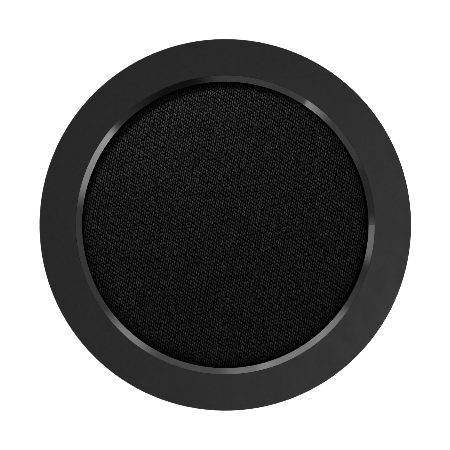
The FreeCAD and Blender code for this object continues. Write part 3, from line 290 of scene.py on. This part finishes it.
def plain_weave(name, colour, pitch):
    """Two crossing sets of threads, for the resin-dipped centring disc. Their colour darkens between
    the threads: painted shade.
    """
    m = Shader(name)
    sets = []
    for direction in ("X", "Y"):
        wave = m.node("ShaderNodeTexWave", wave_type="BANDS", bands_direction=direction)
        wave.inputs["Scale"].default_value = WAVE_PERIOD / pitch
        wave.inputs["Distortion"].default_value = 0.5
        m.link(m.place, wave.inputs["Vector"])
        sets.append(wave.outputs["Fac"])
    both = m.node("ShaderNodeMath", operation="MAXIMUM")
    m.link(sets[0], both.inputs[0])
    m.link(sets[1], both.inputs[1])
    m.colour(m.ramp(both.outputs[0], (0.2, tint(colour, 0.35)), (0.9, tint(colour, 1.2))))
    m.roughness(m.range(m.noise(1 * MM), 0.6, 0.8))
    m.normal(m.bump(both.outputs[0], 0.8, 0.1 * MM))
    return m.material


def cloth_ground():
    """The dark under-layer of the loudspeaker cloth, seen between its upper yarns. Its near-black
    colour is partly the cloth's own black and partly painted shade in the gaps between the yarns.
    """
    m = Shader("cloth_ground")
    m.colour(m.ramp(m.noise(0.5 * MM, 3), (0.35, grey(0.0001)), (0.65, grey(0.004))))
    m.roughness(m.range(m.noise(0.4 * MM), 0.85, 0.97))
    m.normal(m.bump(m.noise(0.3 * MM, 3), 0.8, 0.1 * MM))
    m.set(Specular_IOR_Level=0.0)
    return m.material


def yarn():
    """Dyed polyester yarn: dull filaments with a soft sheen. Each stitch has its own tone, which also
    carries painted shade at the float's low edges and near the cloth's border.
    """
    m = Shader("cloth_yarn")
    stitch = m.node("ShaderNodeAttribute", attribute_name="tone")
    m.colour(m.ramp(stitch.outputs["Fac"], (0.0, grey(0.001)), (0.5, grey(0.0120)), (1.0, grey(0.042))))
    m.roughness(m.range(m.noise(0.2 * MM, 3), 0.55, 0.75))
    filaments = m.noise(0.09 * MM, 2, 0.6, (1.0, 0.25, 1.0))
    m.normal(m.bump(filaments, 0.5, 0.02 * MM))
    m.set(Specular_IOR_Level=0.2, Sheen_Weight=0.03, Sheen_Roughness=0.5)
    return m.material


def clear_lens(name, colour):
    """Cast clear plastic, partly see-through, with a slightly uneven face."""
    m = Shader(name)
    m.colour(m.ramp(m.noise(0.8 * MM), (0.3, tint(colour, 0.85)), (0.7, tint(colour, 1.1))))
    m.roughness(m.range(m.noise(1.5 * MM), 0.12, 0.22))
    m.normal(m.bump(m.noise(0.5 * MM), 0.15, 0.02 * MM))
    m.set(Transmission_Weight=0.35, IOR=1.49)
    return m.material


MATERIALS = {
    "shell_black": shell_paint(),
    "base_black": moulded("base_moulding", grey(0.020), 0.6, 0.35 * MM, 0.8, 0.25),
    "bevel_black": turned("bevel_dark_cut", grey(0.36), 0.07, 0.06 * MM, 0.05),
    "foot_rubber": rubber("foot_rubber", grey(0.018)),
    "inner_plastic": moulded("inner_moulding", grey(0.05), 0.5),
    "label_grey": moulded("blank_label", grey(0.17), 0.4, 0.8 * MM, 0.2),
    "steel_plate": turned("zinc_plate", (0.52, 0.52, 0.50), 0.3, 0.5 * MM, 0.8),
    "screw_steel": metal("black_zinc", grey(0.16), 0.35),
    "basket_steel": moulded("powder_coat", grey(0.03), 0.42, 0.5 * MM, 0.9, 0.5),
    "ferrite": moulded("ferrite", grey(0.07), 0.6, 0.6 * MM, 0.9),
    "cone_paper": pressed_pulp("cone_pulp", grey(0.03)),
    "surround_rubber": rubber("surround_rubber", grey(0.014), 0.5),
    "spider_cloth": plain_weave("dipped_cotton", (0.42, 0.30, 0.10), 0.5 * MM),
    "former_film": moulded("amber_film", (0.55, 0.32, 0.10), 0.25, 1 * MM, 0.2, 0.5),
    "coil_copper": wound_copper(),
    "foam_black": moulded("closed_foam", grey(0.03), 0.9, 0.3 * MM, 1.0, 0.1),
    "board_green": board_mask("solder_mask"),
    "chip_black": moulded("chip_epoxy", grey(0.022), 0.45, 0.15 * MM, 0.6),
    "shield_tin": metal("tin_plate", (0.62, 0.62, 0.60), 0.28, 0.6 * MM, (1, 0.2, 1)),
    "heat_sink_alloy": metal("heat_sink_alloy", grey(0.20), 0.4, 0.5 * MM, (0.1, 1, 1), 0.5),
    "gap_pad": rubber("gap_pad", (0.22, 0.36, 0.52), 0.7),
    "socket_shell": metal("nickel_plate", (0.60, 0.59, 0.57), 0.25, 0.5 * MM, (1, 0.2, 1)),
    "socket_plastic": moulded("socket_moulding", grey(0.02), 0.45, 0.3 * MM),
    "contact_gold": metal("gold_plate", (0.85, 0.58, 0.22), 0.22),
    "lens_clear": clear_lens("lamp_lens", (0.62, 0.68, 0.50)),
    "led_white": clear_lens("phosphor", (0.85, 0.80, 0.45)),
    "guide_white": moulded("milky_guide", grey(0.72), 0.4, 2 * MM, 0.2),
    "wire_red": rubber("lead_jacket", (0.32, 0.025, 0.02), 0.45),
    "cable_white": moulded("film_cable", grey(0.68), 0.35, 1 * MM, 0.3),
    "control_black": moulded("control_moulding", grey(0.04), 0.42, 0.3 * MM, 0.4, 0.45),
}


def dress_cad_nodes():
    """Gives every carried-over CAD node the material of its slot."""
    for part in frame["record"]["subparts"]:
        if part["material_slot"] not in MATERIALS:
            continue
        node = frame["nodes"][part["node"]]
        node.data.materials.clear()
        node.data.materials.append(MATERIALS[part["material_slot"]])


# ---------------------------------------------------------------- loudspeaker cloth

CLOTH_LOW, CLOTH_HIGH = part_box("grille_cloth")
# The radius at which the cloth turns down, and how far its yarns stand over its ground.
CLOTH_SIDE = 53.65 * MM
YARN_RISE = 0.24 * MM
# The cloth rolls over the carrier's soft edge on an arc.
SHOULDER_WIDTH = 4.0 * MM
SHOULDER_ARC = 6.2 * MM
SHEET_THICKNESS = 0.22 * MM
# The hidden hem turns out under the bevel ring over a small bend. It lies this far above the CAD
# cloth's underside and stops this far inside its edge.
HEM_LIFT = 0.4 * MM
HEM_INSET = 0.2 * MM
BEND_WIDTH = 0.3 * MM
BEND_RISE = 0.2 * MM
# The sheet's mesh: the first ring's share of the flat part's radius, and the counts.
FIRST_RING = 0.04
FLAT_RINGS = 24
SHOULDER_RINGS = 8
SEGMENTS = 128


def cloth_height(radius):
    """The height of the cloth's ground under its upper yarns: flat, then rolling over the edge."""
    over = min(max(radius - (CLOTH_SIDE - SHOULDER_WIDTH), 0.0), SHOULDER_WIDTH)
    return CLOTH_HIGH.z - YARN_RISE - SHOULDER_ARC + math.sqrt(SHOULDER_ARC ** 2 - over ** 2)


def cloth_ground_sheet():
    """The cloth itself: drawn flat over the carrier, over its rounded edge and down its side."""
    bm = bmesh.new()
    start = CLOTH_SIDE - SHOULDER_WIDTH
    rings = [start * (FIRST_RING + (1 - FIRST_RING) * k / FLAT_RINGS)
             for k in range(FLAT_RINGS + 1)]
    rings += [start + SHOULDER_WIDTH * k / SHOULDER_RINGS for k in range(1, SHOULDER_RINGS + 1)]
    levels = [cloth_height(r) for r in rings]
    side_low = CLOTH_LOW.z + HEM_LIFT
    rings += [CLOTH_SIDE, CLOTH_SIDE + BEND_WIDTH, CLOTH_HIGH.x - HEM_INSET]
    levels += [side_low + BEND_RISE, side_low, side_low]
    centre = bm.verts.new((0, 0, levels[0]))
    loops = []
    for radius, level in zip(rings, levels):
        loops.append([
            bm.verts.new((radius * math.cos(2 * math.pi * k / SEGMENTS),
                          radius * math.sin(2 * math.pi * k / SEGMENTS), level))
            for k in range(SEGMENTS)
        ])
    for k in range(SEGMENTS):
        after = (k + 1) % SEGMENTS
        bm.faces.new((centre, loops[0][k], loops[0][after]))
        for inner, outer in zip(loops, loops[1:]):
            bm.faces.new((inner[k], outer[k], outer[after], inner[after]))
    sheet = mesh_object("loudspeaker_cloth", bm)
    solid = sheet.modifiers.new("thickness", "SOLIDIFY")
    solid.thickness = SHEET_THICKNESS
    solid.offset = -1
    sheet.data.materials.append(cloth_ground())
    return sheet


# The upper yarns pass over the ground in floats. Their lattice: one step along a float's own
# column, and one step to the column beside it.
COLUMN_STEP = Vector((-0.234, -1.264)) * MM
ACROSS_STEP = Vector((0.728, -0.502)) * MM
FLOAT_LENGTH = 1.08 * MM
FLOAT_WIDTH = 0.60 * MM
# Stations along a float, in shares of its length, and its section: share of width, share of rise.
FLOAT_STATIONS = (-0.5, -0.22, 0.22, 0.5)
FLOAT_SECTION = ((-0.5, 0.0), (-0.2, 1.0), (0.2, 1.0), (0.5, 0.0))
# A low power makes the arch blunt. Its ends are narrower by a share, and all of it is sunk a
# little into the ground.
ARCH_POWER = 0.7
END_SQUEEZE = 0.45
FLOAT_SINK = 0.02 * MM
# What each float's length, width and rise are multiplied by, at random.
LENGTH_RANGE = (0.88, 1.1)
WIDTH_RANGE = (0.85, 1.12)
RISE_RANGE = (0.6, 1.0)
# The spreads of its turn in radians, of its lean towards one end, of its column and of its place.
TURN_SPREAD = 0.07
LEAN_SPREAD = 0.2
COLUMN_SPREAD = 0.03 * MM
PLACE_SPREAD = (0.058 * MM, 0.105 * MM)
# Neighbouring columns are shifted opposite ways along their length, and differ in tone.
COLUMN_SHIFT = 0.06 * MM
TONE_MEAN, TONE_SIDE, TONE_SPREAD = 0.55, 0.03, 0.20
# Painted shade: the share of its tone that a float loses at its low edges, and at the cloth's border in
# the recess under the bevel ring. The second grows outwards over a width, about a place inside the
# cloth's side.
LOW_EDGE_PAINTED_SHADE = 0.6
BORDER_PAINTED_SHADE = 0.5
BORDER_SHADE_INSET = 2.4 * MM
BORDER_SHADE_WIDTH = 5.5 * MM
# No float is laid nearer than this to the cloth's side. The lattice is tried over more than the disc.
YARN_MARGIN = 0.25 * MM
LATTICE_SPAN = 2.4


def add_float(bm, spot, along, tone, rng):
    """One float: a short arched strip that dives into the ground at both ends."""
    turn = rng.gauss(0, TURN_SPREAD)
    along = Matrix.Rotation(turn, 2) @ along
    across = Vector((-along.y, along.x))
    length = FLOAT_LENGTH * rng.uniform(*LENGTH_RANGE)
    width = FLOAT_WIDTH * rng.uniform(*WIDTH_RANGE)
    rise = YARN_RISE * rng.uniform(*RISE_RANGE)
    lean = rng.gauss(0.0, LEAN_SPREAD)
    rows = []
    for station in FLOAT_STATIONS:
        arch = math.cos(station * math.pi) ** ARCH_POWER if abs(station) < 0.5 else 0.0
        squeeze = 1 - END_SQUEEZE * (1 - arch)
        row = []
        for offset, lift in FLOAT_SECTION:
            flat = spot + along * (station * length) + across * (offset * width * squeeze)
            height = rise * lift * arch * (1 + lean * math.copysign(1, station)) - FLOAT_SINK
            corner = bm.verts.new((flat.x, flat.y, cloth_height(flat.length) + height))
            # Painted shade: the float's tone darkens towards its low edges.
            painted_low_edge_shade = 1 - LOW_EDGE_PAINTED_SHADE * (1 - lift * arch)
            corner[bm.verts.layers.float["tone"]] = tone * painted_low_edge_shade
            row.append(corner)
        rows.append(row)
    for first, second in zip(rows, rows[1:]):
        for k in range(len(FLOAT_SECTION) - 1):
            bm.faces.new((first[k], second[k], second[k + 1], first[k + 1]))


def cloth_yarns():
    """Every float of the cloth's face, on a sheared lattice, each slightly unlike the next."""
    rng = random.Random(7)
    bm = bmesh.new()
    bm.verts.layers.float.new("tone")
    along = COLUMN_STEP.normalized()
    reach = CLOTH_SIDE - YARN_MARGIN
    steps = int(LATTICE_SPAN * reach / ACROSS_STEP.x)
    for column in range(-steps, steps + 1):
        wander = rng.gauss(0, COLUMN_SPREAD)
        side = 1 if column % 2 else -1
        for row in range(-2 * steps, 2 * steps + 1):
            spot = ACROSS_STEP * column + COLUMN_STEP * row
            if spot.length > reach:
                continue
            spot = spot + along * (side * COLUMN_SHIFT)
            jitter = [rng.gauss(0, spread) for spread in PLACE_SPREAD]
            spot = spot + Vector((wander + jitter[0], jitter[1]))
            tone = min(1.0, max(0.0, rng.gauss(TONE_MEAN + TONE_SIDE * side, TONE_SPREAD)))
            # Painted shade: the tone darkens towards the cloth's border, in the recess under the bevel
            # ring.
            border_shade_mask = fade(spot.length, CLOTH_SIDE - BORDER_SHADE_INSET, BORDER_SHADE_WIDTH)
            tone *= 1 - BORDER_PAINTED_SHADE * border_shade_mask
            add_float(bm, spot, along, tone, rng)
    yarns = mesh_object("cloth_yarns", bm)
    yarns.data.materials.append(yarn())
    return yarns


def build_cloth():
    """The sheet and its yarns, which together stand for the CAD cloth."""
    sheet = cloth_ground_sheet()
    yarns = cloth_yarns()
    for piece in (sheet, yarns):
        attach(piece, "root")
        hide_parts("grille_cloth")
    return sheet, yarns


# ---------------------------------------------------------------- studio

# What the camera sees of the floor and the backdrop, and what the hub is lit by.
FLOOR_GLOW = 0.97
FLOOR_BOUNCE = 0.14
BACKDROP = 1.0
ROOM = 0.016
# The floor's reach each way, and the gap that keeps it clear of the hub's foot.
FLOOR_HALF = 6.0
FLOOR_GAP = 0.02 * MM


def floor():
    """A pale table. Its glow, which only the camera sees, keeps it an even white."""
    bm = bmesh.new()
    bmesh.ops.create_grid(bm, x_segments=1, y_segments=1, size=FLOOR_HALF)
    table = mesh_object("floor", bm, smooth=False)
    table.location.z = LOW.z - FLOOR_GAP
    m = Shader("pale_table")
    m.colour(m.ramp(m.noise(0.4, 2), (0.3, grey(0.80)), (0.7, grey(0.84))))
    m.set(Roughness=0.9, Specular_IOR_Level=0.0)
    seen = m.node("ShaderNodeLightPath").outputs["Is Camera Ray"]
    m.link(m.range(seen, FLOOR_BOUNCE, FLOOR_GLOW, 0, 1), m.shader.inputs["Emission Strength"])
    m.shader.inputs["Emission Color"].default_value = (1, 1, 1, 1)
    table.data.materials.append(m.material)


def area_light(name, place, aim, width, height, power):
    """A rectangular lamp, in metres and watts, which the camera doesn't see."""
    lamp = bpy.data.lights.new(name, "AREA")
    lamp.shape = "RECTANGLE"
    lamp.size, lamp.size_y = width, height
    lamp.energy = power
    thing = bpy.data.objects.new(name, lamp)
    thing.location = place
    thing.rotation_euler = (Vector(aim) - Vector(place)).to_track_quat("-Z", "Y").to_euler()
    thing.visible_camera = False
    bpy.context.scene.collection.objects.link(thing)
    return thing


# Softboxes stand round the set, low enough to be seen in the chamfer. Each has a first and last
# bearing in degrees anticlockwise from +X, how softly it fades in and out, and its brightness.
SOFTBOXES = (
    (-56, 277, 20, 13, 0.044), (204.5, 276, 10, 13, 0.062),
    (-40, -11.5, 7, 11, 0.52), (-40, -28, 6, 18, 0.27), (-8, 158, 10, 12, 0.044),
    (41.3, 57.2, 13, 12, 0.44), (59, 145, 10, 6, 0.075), (90, 144, 8, 6, 0.24),
    (103, 141, 4, 7, 0.09), (103.5, 108.5, 4, 4, 0.14), (126, 133, 8, 8, 0.12),
    (166.3, 180.6, 8, 6, 0.32),
)
# One more softbox fades in from its first bearing to its last, where it ends sharply.
CRISP_SOFTBOX = (223.5, 236.6, 0.54)
# Their middle and height in degrees of elevation, how softly they fade at top and bottom, in the
# elevation's sine, and how many steps a turn is sampled in.
SOFTBOX_ELEVATION = 29
SOFTBOX_TALL = 22
SOFTBOX_FADE = 0.14
RING_STEPS = 180


def softbox_light(bearing):
    """The set's brightness towards a bearing, at the height of the softboxes."""
    total = 0.0
    for first, last, fade_in, fade_out, level in SOFTBOXES:
        for turn in (-360, 0, 360):
            here = bearing + turn
            total += level * fade(here, first, fade_in) * (1 - fade(here, last, fade_out))
    return total


def spot_at(bearing, elevation, distance):
    """A place over the hub, by its bearing from +X, its elevation in degrees and its distance."""
    turn, rise = math.radians(bearing), math.radians(elevation)
    flat = distance * math.cos(rise)
    return (flat * math.cos(turn), flat * math.sin(turn), TOP + distance * math.sin(rise))


# Strip lights no taller than the hub light its sides and leave its face alone. Each has a
# bearing in degrees and a power in watts, and stands on the level STRIP_FOOT.
STRIPS = ((-100, 2.6), (-12, 1.2), (78, 2.0), (165, 2.6))
STRIP_DISTANCE = 0.8
STRIP_WIDTH = 0.4
STRIP_FOOT = 4 * MM


def strip_lights():
    """The strips, each standing beside the hub and facing its axis."""
    tall = TOP - STRIP_FOOT
    for bearing, power in STRIPS:
        turn = math.radians(bearing)
        across, along = STRIP_DISTANCE * math.cos(turn), STRIP_DISTANCE * math.sin(turn)
        height = TOP - tall / 2
        area_light(f"strip_{bearing % 360}", (across, along, height), (0, 0, height),
                   STRIP_WIDTH, tall, power)


def lights(cloth_pieces):
    """Two lamps over the hub, the strips at its sides, and one lamp that only the cloth receives."""
    centre = (0, 0, TOP)
    strip_lights()
    area_light("rim_light", spot_at(-25, 67, 0.55), centre, 0.16, 0.16, 1.02)
    area_light("fill_light", spot_at(150, 64, 0.45), centre, 0.12, 0.12, 0.085)
    cloth_light = area_light("cloth_light", spot_at(117, 25, 0.15), centre, 0.05, 0.024, 0.26)
    reached = bpy.data.collections.new("cloth_only")
    for piece in cloth_pieces:
        reached.objects.link(piece)
    cloth_light.light_linking.receiver_collection = reached


def profile(tree, source, samples):
    """A curve through (place, value) samples, both between 0 and 1."""
    node = tree.nodes.new("ShaderNodeFloatCurve")
    curve = node.mapping.curves[0]
    curve.points[0].location, curve.points[-1].location = samples[0], samples[-1]
    for place, value in samples[1:-1]:
        curve.points.new(place, value)
    for point in curve.points:
        point.handle_type = "VECTOR"
    node.mapping.update()
    tree.links.new(source, node.inputs["Value"])
    return node.outputs["Value"]


def room():
    """A dim room with the ring of softboxes, and a pale backdrop where the camera sees it."""
    world = bpy.data.worlds.new("room")
    bpy.context.scene.world = world
    world.use_nodes = True
    tree = world.node_tree
    tree.nodes.clear()

    def node(kind, **settings):
        made = tree.nodes.new(kind)
        for key, value in settings.items():
            setattr(made, key, value)
        return made

    direction = node("ShaderNodeTexCoord").outputs["Generated"]
    around = node("ShaderNodeTexGradient", gradient_type="RADIAL")
    tree.links.new(direction, around.inputs["Vector"])
    ring = [(k / RING_STEPS, softbox_light(360 * k / RING_STEPS - 180))
            for k in range(RING_STEPS + 1)]
    sampled = profile(tree, around.outputs["Fac"], ring)
    first, last, level = CRISP_SOFTBOX
    climb = node("ShaderNodeMapRange", interpolation_type="SMOOTHSTEP")
    tree.links.new(around.outputs["Fac"], climb.inputs["Value"])
    climb.inputs["From Min"].default_value = (first - 180) / 360
    climb.inputs["From Max"].default_value = (last - 180) / 360
    climb.inputs["To Max"].default_value = level
    within = node("ShaderNodeMath", operation="LESS_THAN")
    tree.links.new(around.outputs["Fac"], within.inputs[0])
    within.inputs[1].default_value = (last - 180) / 360
    ring_light = node("ShaderNodeMath", operation="MULTIPLY_ADD")
    tree.links.new(climb.outputs["Result"], ring_light.inputs[0])
    tree.links.new(within.outputs[0], ring_light.inputs[1])
    tree.links.new(sampled, ring_light.inputs[2])
    brightness = ring_light.outputs[0]
    split = node("ShaderNodeSeparateXYZ")
    tree.links.new(direction, split.inputs[0])
    low = math.sin(math.radians(SOFTBOX_ELEVATION - SOFTBOX_TALL / 2))
    high = math.sin(math.radians(SOFTBOX_ELEVATION + SOFTBOX_TALL / 2))
    height = [(z / 100, fade(z / 100, low, SOFTBOX_FADE) * (1 - fade(z / 100, high, SOFTBOX_FADE)))
              for z in range(0, 101, 2)]
    share = profile(tree, split.outputs["Z"], height)
    product = node("ShaderNodeMath", operation="MULTIPLY_ADD")
    tree.links.new(brightness, product.inputs[0])
    tree.links.new(share, product.inputs[1])
    product.inputs[2].default_value = ROOM
    lit, pale = node("ShaderNodeBackground"), node("ShaderNodeBackground")
    tree.links.new(product.outputs[0], lit.inputs["Strength"])
    pale.inputs["Strength"].default_value = BACKDROP
    for source in (lit, pale):
        source.inputs["Color"].default_value = (1, 1, 1, 1)
    mix = node("ShaderNodeMixShader")
    tree.links.new(node("ShaderNodeLightPath").outputs["Is Camera Ray"], mix.inputs["Fac"])
    tree.links.new(lit.outputs[0], mix.inputs[1])
    tree.links.new(pale.outputs[0], mix.inputs[2])
    tree.links.new(mix.outputs[0], node("ShaderNodeOutputWorld").inputs["Surface"])


CAMERA_HEIGHT = 1.5
# The body spans this share of the picture's width.
BODY_SHARE = 0.8265
FRAME_WIDTH = 2 * BODY_RADIUS / BODY_SHARE
# The picture's middle, from the hub's axis.
AIM_OFF = Vector((-0.11, -0.05)) * MM


def camera():
    """Straight above the hub, its sockets away from the viewer, at the top of the picture."""
    data = bpy.data.cameras.new("camera")
    eye = bpy.data.objects.new("camera", data)
    eye.location = (AIM_OFF.x, AIM_OFF.y, TOP + CAMERA_HEIGHT)
    data.sensor_width = 36
    data.lens = data.sensor_width / 2 / (FRAME_WIDTH / 2 / CAMERA_HEIGHT)
    data.clip_start, data.clip_end = 0.05, 100
    bpy.context.scene.collection.objects.link(eye)
    bpy.context.scene.camera = eye


def picture_settings():
    """Plain display colours, and pixels about as crisp as the photograph's."""
    scene = bpy.context.scene
    scene.view_settings.view_transform = "Standard"
    scene.cycles.filter_width = 0.6


dress_cad_nodes()
cloth = build_cloth()
floor()
lights(cloth)
room()
camera()
picture_settings()
